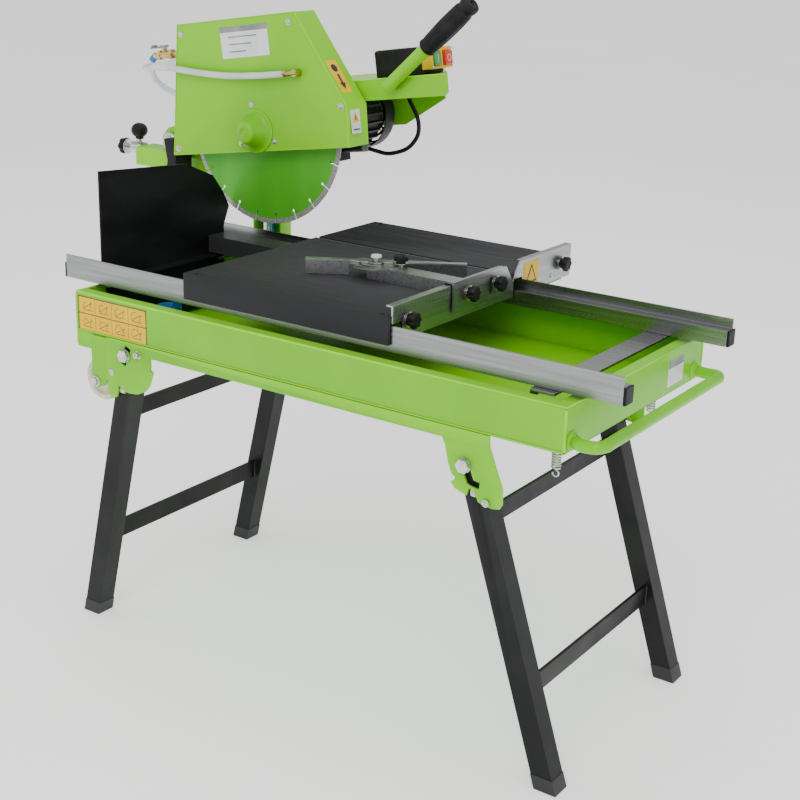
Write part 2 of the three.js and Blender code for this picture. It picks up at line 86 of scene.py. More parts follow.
def tube(name, pts, r, mat, body, res=6):
    cu = bpy.data.curves.new(name, 'CURVE')
    cu.dimensions = '3D'
    cu.bevel_depth = r
    cu.bevel_resolution = res
    cu.use_fill_caps = True
    s = cu.splines.new('POLY')
    s.points.add(len(pts) - 1)
    for q, p in zip(s.points, pts):
        q.co = (p[0], p[1], p[2], 1)
    s.use_smooth = True
    o = bpy.data.objects.new(name, cu)
    SC.objects.link(o)
    bpy.context.view_layer.update()
    me = bpy.data.meshes.new_from_object(o.evaluated_get(bpy.context.evaluated_depsgraph_get()))
    bpy.data.objects.remove(o)
    bpy.data.curves.remove(cu)
    me.name = name
    for p in me.polygons:
        p.use_smooth = True
    me.materials.clear()
    if mat:
        me.materials.append(mat)
    o = bpy.data.objects.new(name, me)
    SC.objects.link(o)
    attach(o, body)
    return o


lead_pts = [HD(*p) for p in catmull(LEAD)]
hose_pts = [HD(*p) for p in catmull(HOSE)]
lead = tube("motor_lead_cable", lead_pts, 0.004, None, "head")
hose = tube("front_water_hose", hose_pts, 0.006, None, "head")
feed_pts = [HD(*p) for p in catmull(FEED)]
feed = tube("feed_water_hose", feed_pts, 0.006, None, "head")
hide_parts("motor_lead")
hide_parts("front_hose")

cam = bpy.data.objects.new("camera", bpy.data.cameras.new("camera"))
SC.objects.link(cam)
a, e, r = math.radians(33.712), math.radians(19.123), math.radians(1.887)
back = Vector((math.sin(a) * math.cos(e), -math.cos(a) * math.cos(e), math.sin(e)))
right = Vector((math.cos(a), math.sin(a), 0))
up = back.cross(right)
right2 = right * math.cos(r) + up * math.sin(r)
up2 = -right * math.sin(r) + up * math.cos(r)
M = Matrix((right2, up2, back)).transposed().to_4x4()
M.translation = D(1347.33, -1922.04, 1274.84)
cam.matrix_world = M
cam.data.lens = 65.149
cam.data.sensor_width = 36
cam.data.shift_x = -0.0126
cam.data.shift_y = 0.0028
cam.data.clip_start, cam.data.clip_end = 0.05, 200
bpy.context.scene.camera = cam


# ------------------------------------------------------------------ materials
def mat(name, c1, c2=None, rough=(0.35, 0.45), metal=0.0, scale=40, stretch=(1, 1, 1), bump=0.1, bscale=300, coat=0.0, contrast=(0.4, 0.6), edge=None, painted_shade=0.0, trans=0.0, spec=0.5):
    m = bpy.data.materials.new(name)
    m.use_nodes = True
    nt = m.node_tree
    nt.nodes.clear()
    N = nt.nodes.new
    L = nt.links.new
    out = N("ShaderNodeOutputMaterial")
    p = N("ShaderNodeBsdfPrincipled")
    L(p.outputs[0], out.inputs[0])
    tc = N("ShaderNodeTexCoord")
    mp = N("ShaderNodeMapping")
    mp.inputs["Scale"].default_value = stretch
    L(tc.outputs["Object"], mp.inputs[0])
    n1 = N("ShaderNodeTexNoise")
    n1.inputs["Scale"].default_value = scale
    n1.inputs["Detail"].default_value = 6
    L(mp.outputs[0], n1.inputs["Vector"])
    rmp = N("ShaderNodeValToRGB")
    rmp.color_ramp.elements[0].position = contrast[0]
    rmp.color_ramp.elements[1].position = contrast[1]
    rmp.color_ramp.elements[0].color = (*c1, 1)
    rmp.color_ramp.elements[1].color = (*(c2 or c1), 1)
    L(n1.outputs["Fac"], rmp.inputs[0])
    col = rmp.outputs[0]
    # painted highlight: convex edges (by pointiness) are brightened to the edge colour
    if edge:
        g = N("ShaderNodeNewGeometry")
        painted_edge_highlight_ramp = N("ShaderNodeValToRGB")
        painted_edge_highlight_ramp.color_ramp.elements[0].position = 0.53
        painted_edge_highlight_ramp.color_ramp.elements[1].position = 0.60
        L(g.outputs["Pointiness"], painted_edge_highlight_ramp.inputs[0])
        mx = N("ShaderNodeMixRGB")
        mx.inputs[2].default_value = (*edge, 1)
        L(painted_edge_highlight_ramp.outputs[0], mx.inputs[0])
        L(col, mx.inputs[1])
        col = mx.outputs[0]
    # painted shade: ambient occlusion darkens the colour in corners, creases and recesses
    if painted_shade:
        ao = N("ShaderNodeAmbientOcclusion")
        ao.inputs["Distance"].default_value = 0.03
        ao.samples = 4
        painted_shade_ramp = N("ShaderNodeValToRGB")
        painted_shade_ramp.color_ramp.elements[0].color = (1 - painted_shade, 1 - painted_shade, 1 - painted_shade, 1)
        painted_shade_ramp.color_ramp.elements[1].position = 0.8
        L(ao.outputs["AO"], painted_shade_ramp.inputs[0])
        mx = N("ShaderNodeMixRGB")
        mx.blend_type = 'MULTIPLY'
        mx.inputs[0].default_value = 1
        L(col, mx.inputs[1])
        L(painted_shade_ramp.outputs[0], mx.inputs[2])
        col = mx.outputs[0]
    L(col, p.inputs["Base Color"])
    n2 = N("ShaderNodeTexNoise")
    n2.inputs["Scale"].default_value = scale * 1.7
    n2.inputs["Detail"].default_value = 4
    L(mp.outputs[0], n2.inputs["Vector"])
    mr = N("ShaderNodeMapRange")
    mr.inputs["From Min"].default_value = 0.3
    mr.inputs["From Max"].default_value = 0.7
    mr.inputs["To Min"].default_value = rough[0]
    mr.inputs["To Max"].default_value = rough[1]
    L(n2.outputs["Fac"], mr.inputs["Value"])
    L(mr.outputs[0], p.inputs["Roughness"])
    n3 = N("ShaderNodeTexNoise")
    n3.inputs["Scale"].default_value = bscale
    n3.inputs["Detail"].default_value = 3
    L(mp.outputs[0], n3.inputs["Vector"])
    bp = N("ShaderNodeBump")
    bp.inputs["Strength"].default_value = bump
    bp.inputs["Distance"].default_value = 0.001
    L(n3.outputs["Fac"], bp.inputs["Height"])
    L(bp.outputs[0], p.inputs["Normal"])
    p.inputs["Metallic"].default_value = metal
    p.inputs["Specular IOR Level"].default_value = spec
    p.inputs["Coat Weight"].default_value = coat
    p.inputs["Coat Roughness"].default_value = 0.12
    if trans:
        p.inputs["Transmission Weight"].default_value = trans
    return m


# green paint: the edge colour is a painted highlight on convex edges, and the 0.45 factor is painted shade darkening
# its crevices
green = mat("m_green", (0.140, 0.480, 0.0), (0.165, 0.540, 0.0), rough=(0.30, 0.40), scale=6, bump=0.06, bscale=700, coat=0.12, edge=(0.30, 0.78, 0.0), painted_shade=0.45, spec=0.22)
# painted shade: a darker copy of the green paint for inside faces that lie in shade (no part uses it)
green_shaded_copy = mat("m_green_shaded_copy", (0.17, 0.42, 0.006), (0.20, 0.47, 0.01), rough=(0.3, 0.42), scale=6, bump=0.06, bscale=700, coat=0.2)
# black paint and table top below: the edge colour is a painted highlight on convex edges
black = mat("m_black", (0.006, 0.006, 0.007), (0.011, 0.011, 0.012), rough=(0.34, 0.46), scale=12, bump=0.08, bscale=500, coat=0.03, edge=(0.05, 0.05, 0.055), spec=0.16)
tabm = mat("m_table", (0.005, 0.005, 0.006), (0.013, 0.013, 0.014), rough=(0.52, 0.70), scale=14, stretch=(0.4, 3, 1), bump=0.16, bscale=70, edge=(0.05, 0.05, 0.055), spec=0.05, contrast=(0.35, 0.75))
rubber = mat("m_rubber", (0.006, 0.006, 0.007), (0.012, 0.012, 0.013), rough=(0.42, 0.6), scale=30, bump=0.15, bscale=400, spec=0.22)
sheetm = mat("m_sheet", (0.005, 0.005, 0.006), (0.012, 0.012, 0.014), rough=(0.38, 0.6), scale=5, stretch=(1, 1, 3), bump=0.25, bscale=18, spec=0.12)
steel = mat("m_steel", (0.27, 0.275, 0.28), (0.33, 0.335, 0.34), rough=(0.24, 0.36), metal=1.0, scale=22, stretch=(0.25, 9, 9), bump=0.05, bscale=80)
bolt_m = mat("m_bolt", (0.52, 0.52, 0.52), (0.70, 0.70, 0.68), rough=(0.2, 0.34), metal=1.0, scale=90, bump=0.05)
alu = mat("m_alu", (0.36, 0.365, 0.37), (0.42, 0.425, 0.43), rough=(0.26, 0.38), metal=1.0, scale=30, stretch=(6, 0.3, 6), bump=0.05, bscale=120)
cream = mat("m_cream", (0.62, 0.56, 0.40), (0.74, 0.69, 0.54), rough=(0.35, 0.5), scale=25, bump=0.08)
bladeg = mat("m_blade", (0.06, 0.40, 0.015), (0.10, 0.50, 0.03), rough=(0.30, 0.42), metal=0.1, scale=3, stretch=(2, 1, 0.7), bump=0.03, bscale=200, coat=0.1, spec=0.3)
seg_m = mat("m_segment", (0.30, 0.30, 0.29), (0.52, 0.52, 0.50), rough=(0.45, 0.7), metal=0.6, scale=400, bump=0.5, bscale=900)
yellow = mat("m_yellow", (0.80, 0.47, 0.0), (0.86, 0.53, 0.0), rough=(0.35, 0.45), scale=20, bump=0.05, spec=0.2)
red = mat("m_red", (0.55, 0.02, 0.012), (0.68, 0.035, 0.02), rough=(0.25, 0.35), scale=20, bump=0.04, coat=0.3)
btn_g = mat("m_btn_green", (0.02, 0.20, 0.05), (0.03, 0.28, 0.07), rough=(0.25, 0.35), scale=20, bump=0.04, coat=0.3)
brass = mat("m_brass", (0.50, 0.34, 0.12), (0.66, 0.50, 0.22), rough=(0.22, 0.38), metal=1.0, scale=60, bump=0.08)
hosem = mat("m_hose", (0.72, 0.78, 0.78), (0.86, 0.90, 0.90), rough=(0.15, 0.25), scale=30, bump=0.04, coat=0.6, trans=0.25)
white = mat("m_white_label", (0.70, 0.71, 0.72), (0.80, 0.81, 0.82), rough=(0.3, 0.45), scale=30, bump=0.03)
grey = mat("m_grey", (0.20, 0.20, 0.21), (0.30, 0.30, 0.31), rough=(0.35, 0.5), scale=30, bump=0.06)
blue = mat("m_blue", (0.01, 0.14, 0.42), (0.02, 0.20, 0.52), rough=(0.3, 0.4), scale=30, bump=0.06)
ink = mat("m_ink", (0.015, 0.015, 0.015), (0.03, 0.03, 0.03), rough=(0.4, 0.5), scale=60, bump=0.02)
for o, m_ in ((lead, rubber), (hose, hosem), (feed, hosem)):
    o.data.materials.append(m_)

SLOT = {}


# ------------------------------------------------------------------ mesh helpers (all in mm, placed by matrix mt)
def obj(name, bm, mt, m, body, bevel=0, seg=2, smooth=True, repl=(), wn=True, sub=0):
    bmesh.ops.recalc_face_normals(bm, faces=bm.faces)
    me = bpy.data.meshes.new(name)
    bm.to_mesh(me)
    bm.free()
    me.transform(mt)
    for p in me.polygons:
        p.use_smooth = smooth
    me.materials.append(m)
    o = bpy.data.objects.new(name, me)
    SC.objects.link(o)
    if bevel:
        b = o.modifiers.new("bevel", 'BEVEL')
        b.width = bevel / 1000
        b.segments = seg
        b.limit_method = 'ANGLE'
        b.angle_limit = math.radians(34)
        b.harden_normals = True
    elif wn:
        es = o.modifiers.new("split", 'EDGE_SPLIT')
        es.split_angle = math.radians(38)
    if sub:
        s = o.modifiers.new("sub", 'SUBSURF')
        s.levels = s.render_levels = sub
    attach(o, body)
    if repl:
        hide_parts(*repl)
    return o


def lathe_bm(prof, n=48, mod=None):
    """prof is (radius, height) along local Z; mod(angle, radius, height) may change the radius."""
    bm = bmesh.new()
    rows = []
    for (r_, h) in prof:
        row = []
        for i in range(n):
            t = 2 * math.pi * i / n
            q = mod(t, r_, h) if mod else r_
            row.append(bm.verts.new((q * math.cos(t), q * math.sin(t), h)))
        rows.append(row)
    for ra, rb in zip(rows, rows[1:]):
        for i in range(n):
            j = (i + 1) % n
            bm.faces.new((ra[i], ra[j], rb[j], rb[i]))
    if prof[0][0] > 0 and prof[0] != prof[-1]:
        bm.faces.new(rows[0])
        bm.faces.new(rows[-1])
    bmesh.ops.remove_doubles(bm, verts=bm.verts, dist=1e-4)
    return bm


def along(axis, pos, mt=MF):
    """matrix that puts local Z along axis (mm frame) at pos."""
    q = Vector(axis).normalized().to_track_quat('Z', 'Y').to_matrix().to_4x4()
    return mt @ Matrix.Translation(Vector(pos)) @ q


def lathe(name, prof, pos, axis, m, body, mt=MF, n=48, mod=None, **k):
    return obj(name, lathe_bm(prof, n, mod), along(axis, pos, mt), m, body, **k)


def boxbm(x0, x1, y0, y1, z0, z1, bm=None):
    bm = bm or bmesh.new()
    v = [bm.verts.new((x, y, z)) for x in (x0, x1) for y in (y0, y1) for z in (z0, z1)]
    for f in ((0, 1, 3, 2), (4, 6, 7, 5), (0, 4, 5, 1), (2, 3, 7, 6), (0, 2, 6, 4), (1, 5, 7, 3)):
        bm.faces.new([v[i] for i in f])
    return bm


def block(name, b, m, body, mt=MF, bevel=0.8, **k):
    return obj(name, boxbm(*b), mt, m, body, bevel=bevel, **k)


def plate_bm(outline, holes, t, bm=None):
    """flat plate in local XY with holes, thickness t up Z."""
    bm = bm or bmesh.new()
    edges = []
    for loop in [outline] + list(holes):
        vs = [bm.verts.new((x, y, 0)) for x, y in loop]
        edges += [bm.edges.new((vs[i], vs[(i + 1) % len(vs)])) for i in range(len(vs))]
    g = bmesh.ops.triangle_fill(bm, use_beauty=True, use_dissolve=False, edges=edges)
    faces = [f for f in g["geom"] if isinstance(f, bmesh.types.BMFace)]
    ex = bmesh.ops.extrude_face_region(bm, geom=faces)
    bmesh.ops.translate(bm, verts=[v for v in ex["geom"] if isinstance(v, bmesh.types.BMVert)], vec=(0, 0, t))
    return bm


def circ(x, y, r_, n=24, a0=0, a1=2 * math.pi):
    return [(x + r_ * math.cos(a0 + (a1 - a0) * i / n), y + r_ * math.sin(a0 + (a1 - a0) * i / n)) for i in range(n)]


def hexbolt(name, pos, axis, af, h, body, mt=MF, m=None, washer=True, dome=False):
    R = af / 2 / math.cos(math.pi / 6)
    bm = lathe_bm([(R * 0.93, h), (R, h * 0.86), (R, 0.6), (R * 0.97, 0)][::-1], 6)
    if washer:
        w = lathe_bm([(R * 1.28, -0.1), (R * 1.28, 1.0), (R * 1.2, 1.3), (R * 0.6, 1.3), (R * 0.6, -0.1), (R * 1.28, -0.1)], 28)
        me = bpy.data.meshes.new("t")
        w.to_mesh(me)
        w.free()
        bm.from_mesh(me)
        bpy.data.meshes.remove(me)
    return obj(name, bm, along(axis, pos, mt), m or bolt_m, body)


def screw(name, pos, axis, r_, body, mt=MF, m=None):
    """domed screw with a washer and a shallow round recess in its top."""
    def mod(t, q, h):
        if h > 1.2 and q < r_ * 0.62:
            return q
        return q
    prof = [(r_ * 1.45, -0.1), (r_ * 1.45, 0.7), (r_ * 1.05, 0.9), (r_, 1.2), (r_ * 0.97, 2.0), (r_ * 0.8, 2.8), (r_ * 0.55, 3.2), (r_ * 0.34, 3.3), (r_ * 0.26, 2.2), (0.05, 2.1)]
    return obj(name, lathe_bm(prof, 20), along(axis, pos, mt), m or bolt_m, body)


def knob(name, pos, axis, r_, h, body, node, lobes=7, mt=MF, stud=True):
    def mod(t, q, z):
        k = 0.5 + 0.5 * math.cos(lobes * t)
        return q * (1 - 0.17 * (1 - k ** 0.7) * min(1, q / (r_ * 0.8))) if q > r_ * 0.6 else q
    prof = [(r_ * 0.55, 0), (r_ * 0.62, 0.2), (r_ * 0.64, h * 0.22), (r_ * 0.95, h * 0.30), (r_, h * 0.42), (r_, h * 0.80), (r_ * 0.94, h * 0.92), (r_ * 0.78, h * 0.98), (r_ * 0.5, h), (r_ * 0.3, h * 0.97), (0.05, h * 0.96)]
    o = obj(name, lathe_bm(prof, 84, mod), along(axis, pos, mt), rubber, body, repl=(node,))
    if stud:
        q = Vector(pos) - Vector(axis).normalized() * 1.2
        lathe(name + "_washer", [(r_ * 0.9, 0), (r_ * 0.9, 1.0), (r_ * 0.85, 1.3), (4, 1.3), (4, 0), (r_ * 0.9, 0)], q, axis, bolt_m, body, mt, n=28)
    return o


# ------------------------------------------------------------------ dress the CAD nodes that stay shown
def dress(n, m, bevel=1.2, seg=2, extra=None):
    o = frame["nodes"][n]
    me = o.data
    for at_ in ("custom_normal",):
        if at_ in me.attributes:
            me.attributes.remove(me.attributes[at_])
    me.materials.clear()
    me.materials.append(m)
    for p in me.polygons:
        p.use_smooth = True
        p.material_index = 0
    w = o.modifiers.new("weld", 'WELD')
    w.merge_threshold = 0.00002
    d = o.modifiers.new("planar", 'DECIMATE')
    d.decimate_type = 'DISSOLVE'
    d.angle_limit = math.radians(1.0)
    if bevel:
        b = o.modifiers.new("bevel", 'BEVEL')
        b.width = bevel / 1000
        b.segments = seg
        b.limit_method = 'ANGLE'
        b.angle_limit = math.radians(34)
        b.harden_normals = True
        b.use_clamp_overlap = True
    else:
        es = o.modifiers.new("split", 'EDGE_SPLIT')
        es.split_angle = math.radians(34)
    return o


for n, m, bv in (("water_tub", green, 1.1), ("front_leg_plate", green, 0.7), ("rear_leg_plate", green, 0.7), ("front_rail", steel, 0.5), ("rear_rail", steel, 0.5),
                 ("rail_cap_front", rubber, 1.0), ("rail_cap_rear", rubber, 1.0), ("rail_tie_right", steel, 0.8), ("water_pump", blue, 2.0), ("splash_sheet", sheetm, 0.8), ("splash_beam", black, 0.8),
                 ("column", green, 1.0), ("pivot_arm", green, 1.4), ("pivot_shaft", steel, 0.8), ("stop_cylinder", bolt_m, 0.8),
                 ("left_leg_frame", black, 2.2), ("right_leg_frame", black, 2.2), ("table_top", tabm, 2.0), ("fence", alu, 0.7), ("gauge_arm", alu, 0.7), ("gauge_rule", alu, 0.5),
                 ("blade_guard", green, 1.6), ("outer_flange", bolt_m, 0.8), ("spindle", steel, 0.5), ("motor_housing", black, 0.5), ("swing_arm", green, 1.2),
                 ("switch_box", rubber, 2.0), ("switch_housing", yellow, 1.2), ("start_button", btn_g, 1.5), ("stop_button", red, 1.8), ("feed_handle", green, 0.6),
                 ("water_valve", brass, 0.6), ("valve_lever", grey, 0.6), ("front_nozzle", brass, 0.5), ("splash_flap", rubber, 1.6), ("motor_rotor", steel, 0.5),
                 ("roller_front_left", steel, 0.6), ("roller_front_right", steel, 0.6), ("roller_rear_left", steel, 0.6), ("roller_rear_right", steel, 0.6),
                 ("left_pivot_bolt_front", bolt_m, 0.8), ("left_pivot_bolt_rear", bolt_m, 0.8), ("right_pivot_bolt_front", bolt_m, 0.8), ("right_pivot_bolt_rear", bolt_m, 0.8)):
    dress(n, m, bv)

# ------------------------------------------------------------------ blade: painted core with key-hole gullets, bonded segments
BX, BZ = 271, 17.2
def gullet(g, r_in, r_out, hw, rk):
    """points of a radial slot with a round key-hole at its inner end, from the low-angle side to the high-angle side."""
    c_, s_ = math.cos(g), math.sin(g)
    P_ = lambda u, v: (u * c_ - v * s_, u * s_ + v * c_)
    out = [P_(math.sqrt(r_out ** 2 - hw ** 2), -hw)]
    q0 = math.asin(hw / rk)
    for k in range(11):
        t = -q0 - (2 * math.pi - 2 * q0) * k / 10
        out.append(P_(r_in + rk * math.cos(t), rk * math.sin(t)))
    out.append(P_(math.sqrt(r_out ** 2 - hw ** 2), hw))
    return out


core = []
RC = 166.2
for i in range(22):
    g0 = (i + 0.5) * 2 * math.pi / 22
    core += gullet(g0, 157.5, RC, 1.3, 3.1)
    g1 = g0 + 2 * math.pi / 22
    h = 1.3 / RC
    for k in range(1, 6):
        t = g0 + h + (g1 - g0 - 2 * h) * k / 6.0
        core.append((RC * math.cos(t), RC * math.sin(t)))
bm = plate_bm(core, [circ(0, 0, 12.9, 28)], 2.4)
obj("blade_core", bm, along((0, 1, 0), (BX, 161.8, BZ), MH), bladeg, "cutter", repl=("blade",))
bm = bmesh.new()
for i in range(22):
    a0_, a1_ = (i + 0.5) * 2 * math.pi / 22 + 1.5 / 170, (i + 1.5) * 2 * math.pi / 22 - 1.5 / 170
    vin = [(166.2 * math.cos(a0_ + (a1_ - a0_) * k / 6), 166.2 * math.sin(a0_ + (a1_ - a0_) * k / 6)) for k in range(7)]
    vout = [(175 * math.cos(a0_ + (a1_ - a0_) * k / 6), 175 * math.sin(a0_ + (a1_ - a0_) * k / 6)) for k in range(7)]
    plate_bm(vin + vout[::-1], [], 3.2, bm)
obj("blade_segments", bm, along((0, 1, 0), (BX, 161.4, BZ), MH), seg_m, "cutter", bevel=0.4)

# ------------------------------------------------------------------ guard details
GS = [(59.4, -20.5), (481.6, -20.5), (486, 51), (390.6, 220), (110.3, 220)]
hub = [(40, 0), (40.5, 0.8), (39.5, 2.4), (36, 3.2), (33, 4.5), (30, 8), (24, 20), (20.5, 28), (19, 31.5), (16, 33.2), (8, 33.5), (7.4, 32.8), (0.05, 32.8)]
lathe("hub_cover_pressing", hub, (BX, 132.6, BZ), (0, -1, 0), green, "head", MH, n=72, repl=("hub_cover",))
for i, (x, z) in enumerate([(-563.6, 1025.2), (-307.4, 1065.8), (-189.2, 929.5), (-575.3, 811.8)]):
    screw(f"guard_screw_{i}", (x, 132.9, z), (0, -1, 0), 4.2, "head")
for i, (x, z) in enumerate([(-393.3, 913.5), (-418.2, 839), (-339.8, 852.1)]):
    screw(f"hub_screw_{i}", (x, 132.7, z), (0, -1, 0), 3.6, "head")
# folded edge strips of the guard's front sheet
def edge_strip(name, pts, y, m, body, mt, r_=1.3):
    P_ = [mt @ Vector((x, y, z)) for x, z in pts]
    return tube(name, P_, r_ / 1000, m, body, 4)
edge_strip("guard_edge_front", [(60.5, -19.5), (110.9, 219), (390, 219), (484.8, 51), (480.8, -19.5)], 133.6, green, "head", MH, 1.5)
edge_strip("guard_edge_rear", [(60.5, -19.5), (110.9, 219), (390, 219), (484.8, 51), (480.8, -19.5)], 190.4, green, "head", MH, 1.5)
# blank plates on the guard
def label(name, x0, x1, z0, z1, y, m, body, mt=MF, t=0.35):
    return block(name, (x0, x1, y - t, y, z0, z1), m, body, mt, bevel=0.15)
label("guard_plate", 214, 326, 150, 206, 132.95, white, "head", MH)
label("guard_plate_strip", 214, 326, 196, 206, 132.55, grey, "head", MH, 0.3)
for i in range(3):
    label(f"guard_plate_line_{i}", 232, 300 - 14 * i, 186 - 13 * i, 188.4 - 13 * i, 132.55, grey, "head", MH, 0.2)
# small plates on the guard's sloping edge and on its end
def sloped(name, t0, t1, y0, y1, m, lift=0.3):
    A, B = Vector((486, 0, 51)), Vector((390.6, 0, 220))
    d = (B - A).normalized()
    n_ = Vector((d.z, 0, -d.x))
    bm = bmesh.new()
    for up_ in (0, lift):
        for t_, y_ in ((t0, y0), (t1, y0), (t1, y1), (t0, y1)):
            q = A + d * t_ + n_ * (up_ + 0.05)
            bm.verts.new((q.x, y_, q.z))
    v = list(bm.verts)
    for f in ((0, 1, 2, 3), (7, 6, 5, 4), (0, 4, 5, 1), (1, 5, 6, 2), (2, 6, 7, 3), (3, 7, 4, 0)):
        bm.faces.new([v[i] for i in f])
    return obj(name, bm, MH, m, "head", bevel=0.1)
sloped("guard_arrow_plate", 26, 92, 142, 172, yellow)
bm = bmesh.new()
A_, B_ = Vector((486, 0, 51)), Vector((390.6, 0, 220))
d_ = (B_ - A_).normalized(); nn = Vector((d_.z, 0, -d_.x))
def slope_poly(bm, pts, lift):
    vs = []
    for t_, y_ in pts:
        q = A_ + d_ * t_ + nn * lift
        vs.append(bm.verts.new((q.x, y_, q.z)))
    bm.faces.new(vs)
slope_poly(bm, [(64, 154), (46, 154), (46, 149), (32, 157), (46, 165), (46, 160), (64, 160)], 0.6)
slope_poly(bm, [(76 + 8 * math.cos(q * math.pi / 10), 157 + 8 * math.sin(q * math.pi / 10)) for q in range(20)], 0.45)
obj("guard_arrow", bm, MH, ink, "head", wn=False)
block("guard_small_plate", (485.0, 486.3, 142, 168, 2, 44), white, "head", Matrix(MH) @ Matrix.Translation((0, 0, 0)) @ Matrix.Rotation(0, 4, 'Y'), bevel=0.1)
bm = bmesh.new()
bm.faces.new([bm.verts.new(p) for p in ((486.5, 145, 22), (486.5, 165, 22), (486.5, 155, 40))])
obj("guard_small_triangle", bm, MH, yellow, "head", wn=False)
bm = bmesh.new()
bm.faces.new([bm.verts.new(p) for p in ((486.5, 146, 8), (486.5, 164, 8), (486.5, 164, 10.5), (486.5, 146, 10.5))])
bm.faces.new([bm.verts.new(p) for p in ((486.7, 152.5, 26), (486.7, 157.5, 26), (486.7, 155, 36))])
obj("guard_small_mark", bm, MH, ink, "head", wn=False)
# ------------------------------------------------------------------ knobs
knob("fence_star_knob_front", (160, -150, 669), (1, 0, 0), 13.5, 14, "fknob_f", "fence_knob_front")
knob("fence_star_knob_rear", (160, 333, 669), (1, 0, 0), 13.5, 14, "fknob_r", "fence_knob_rear")
knob("clamp_star_knob_front", (165, 14, 679), (1, 0, 0), 13.5, 14, "cknob_f", "clamp_knob_front")
knob("clamp_star_knob_rear", (165, 100, 679), (1, 0, 0), 13.5, 14, "cknob_r", "clamp_knob_rear")
knob("gauge_star_knob", (38, 0, 710.9), (0, 0, 1), 13, 13, "gknob", "gauge_knob", lobes=6)
knob("stop_star_knob_moulded", (-812, 235, 777), (-1, 0, 0), 17, 16, "stop_knob", "stop_star_knob", lobes=6)
ball = [(8, 0), (8.4, 1), (8.4, 4), (12, 6.5), (15.5, 10.5), (17, 16), (16.4, 21.5), (13.6, 26.6), (9, 30.2), (4, 31.8), (0.05, 32)]
lathe("lock_ball_knob_moulded", ball, (-779, 235, 796), (0, 0, 1), rubber, "lock_knob", n=48, repl=("lock_ball_knob",))
for i, (y, z) in enumerate([(14, 679), (100, 679)]):
    lathe(f"clamp_stud_{i}", [(4.8, 0), (4.8, 14), (4.2, 15.2), (0.05, 15.2)], (163, y, z), (1, 0, 0), bolt_m, "gauge", n=20)
# ------------------------------------------------------------------ handle grip with oval pads and a drilled end
hx0, hz0, hy = 549, 81.5, 181
hax = Vector((721 - 549, 0, 197 - 81.5)).normalized()
def gmod(t, q, h):
    u = abs(((t / (math.pi / 2)) + 0.5) % 1.0 - 0.5) * 4
    if 12 < h < 104 and q > 14:
        q -= 0.28 * (0.5 + 0.5 * math.cos(48 * t))
    if 18 < h < 92 and q > 14:
        w_ = 1 - (abs(h - 55) / 37) ** 2
        ins = max(0.0, w_) ** 0.5
        return q - 0.9 * (1 if u < 0.62 * ins else 0)
    return q
gp = [(8.4, 0), (13, 0), (14.5, 0.8), (16.3, 3), (16.5, 6), (15.6, 10), (16, 14)] + [(16 + 2 * math.sin(math.pi * (h_ - 14) / 92 * 0.9) - 0.0, h_) for h_ in range(18, 100, 3)] + [(15.8, 102), (15.3, 105), (16.2, 108), (17, 111), (17, 116), (16, 119.5), (13.5, 121), (5.2, 121), (4.8, 120.5), (4.8, 114), (0.05, 114)]
lathe("handle_grip_moulded", gp, Vector((hx0, hy, hz0)) + hax * 97, hax, rubber, "head", MH, n=192, mod=gmod, repl=("handle_grip",), wn=False)
# ------------------------------------------------------------------ carry handle as one bent tube with weld pads
hp = [[487, -214, 566], [500, -222, 566], [524, -222, 568], [533, -210, 569], [533, -190, 569], [533, 0, 569], [533, 165, 569], [533, 183, 569], [525, 197, 568], [504, 202, 566], [487, 204, 566]]
ch = tube("carry_handle_tube", [D(*p) for p in catmull(hp, 12, 0.3)], 0.0094, green, "base", 8)
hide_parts("carry_handle")
for s in (-1, 1):
    lathe(f"carry_handle_weld_{'f' if s < 0 else 'r'}", [(15, 0), (15, 1.5), (12.5, 3.5), (10.5, 5), (9.4, 6.5), (9.2, 0)], (481.1, -212.5 if s < 0 else 204.5, 566), (1, 0, 0), green, "base", n=32)
# ------------------------------------------------------------------ transport wheels
wp = [(6.4, -13), (12, -13), (13, -12), (14, -7), (16, -5.5), (26, -5.5), (28, -7), (29, -11), (34.5, -11.5), (37.2, -10), (38.4, -7.5), (38.5, -3), (38.1, -2.4), (38.1, 2.4), (38.5, 3), (38.4, 7.5), (37.2, 10), (34.5, 11.5), (29, 11), (28, 7), (26, 5.5), (16, 5.5), (14, 7), (13, 12), (12, 13), (6.4, 13), (6.4, -13)]
for n_, s, b_ in (("front", -1, "wheel_f"), ("rear", 1, "wheel_r")):
    lathe("transport_wheel_" + n_ + "_moulded", wp, (-436, s * 212, 466.5), (0, 1, 0), cream, b_, n=64, repl=("transport_wheel_" + n_,))
    hexbolt("wheel_bolt_" + n_, (-436, s * 237.4, 466.5), (0, s, 0), 13, 6, "base")
# ------------------------------------------------------------------ motor fan cover with slotted grille
fcp = [(66.2, 452.5), (68, 452.5), (68, 480), (66.5, 485), (62, 488), (57, 488), (57, 486), (62, 485), (65, 480), (66.2, 474), (66.2, 452.5)]
bm = lathe_bm([(r_, h_ - 452.5) for r_, h_ in fcp], 64)
for rr in (22, 31, 40, 49):
    t = lathe_bm([(rr + 2.6, 33.2), (rr + 2.6, 35.2), (rr - 2.6, 35.2), (rr - 2.6, 33.2), (rr + 2.6, 33.2)], 48)
    me = bpy.data.meshes.new("t"); t.to_mesh(me); t.free(); bm.from_mesh(me); bpy.data.meshes.remove(me)
for i in range(8):
    t = boxbm(14, 62, -2.2, 2.2, 32.6, 34.8)
    bmesh.ops.rotate(t, verts=t.verts, cent=(0, 0, 0), matrix=Matrix.Rotation(i * math.pi / 4, 3, 'Z'))
    me = bpy.data.meshes.new("t"); t.to_mesh(me); t.free(); bm.from_mesh(me); bpy.data.meshes.remove(me)
obj("fan_cover_grille", bm, along((0, 1, 0), (BX, 452.5, BZ), MH), rubber, "head", repl=("motor_fan_cover",))
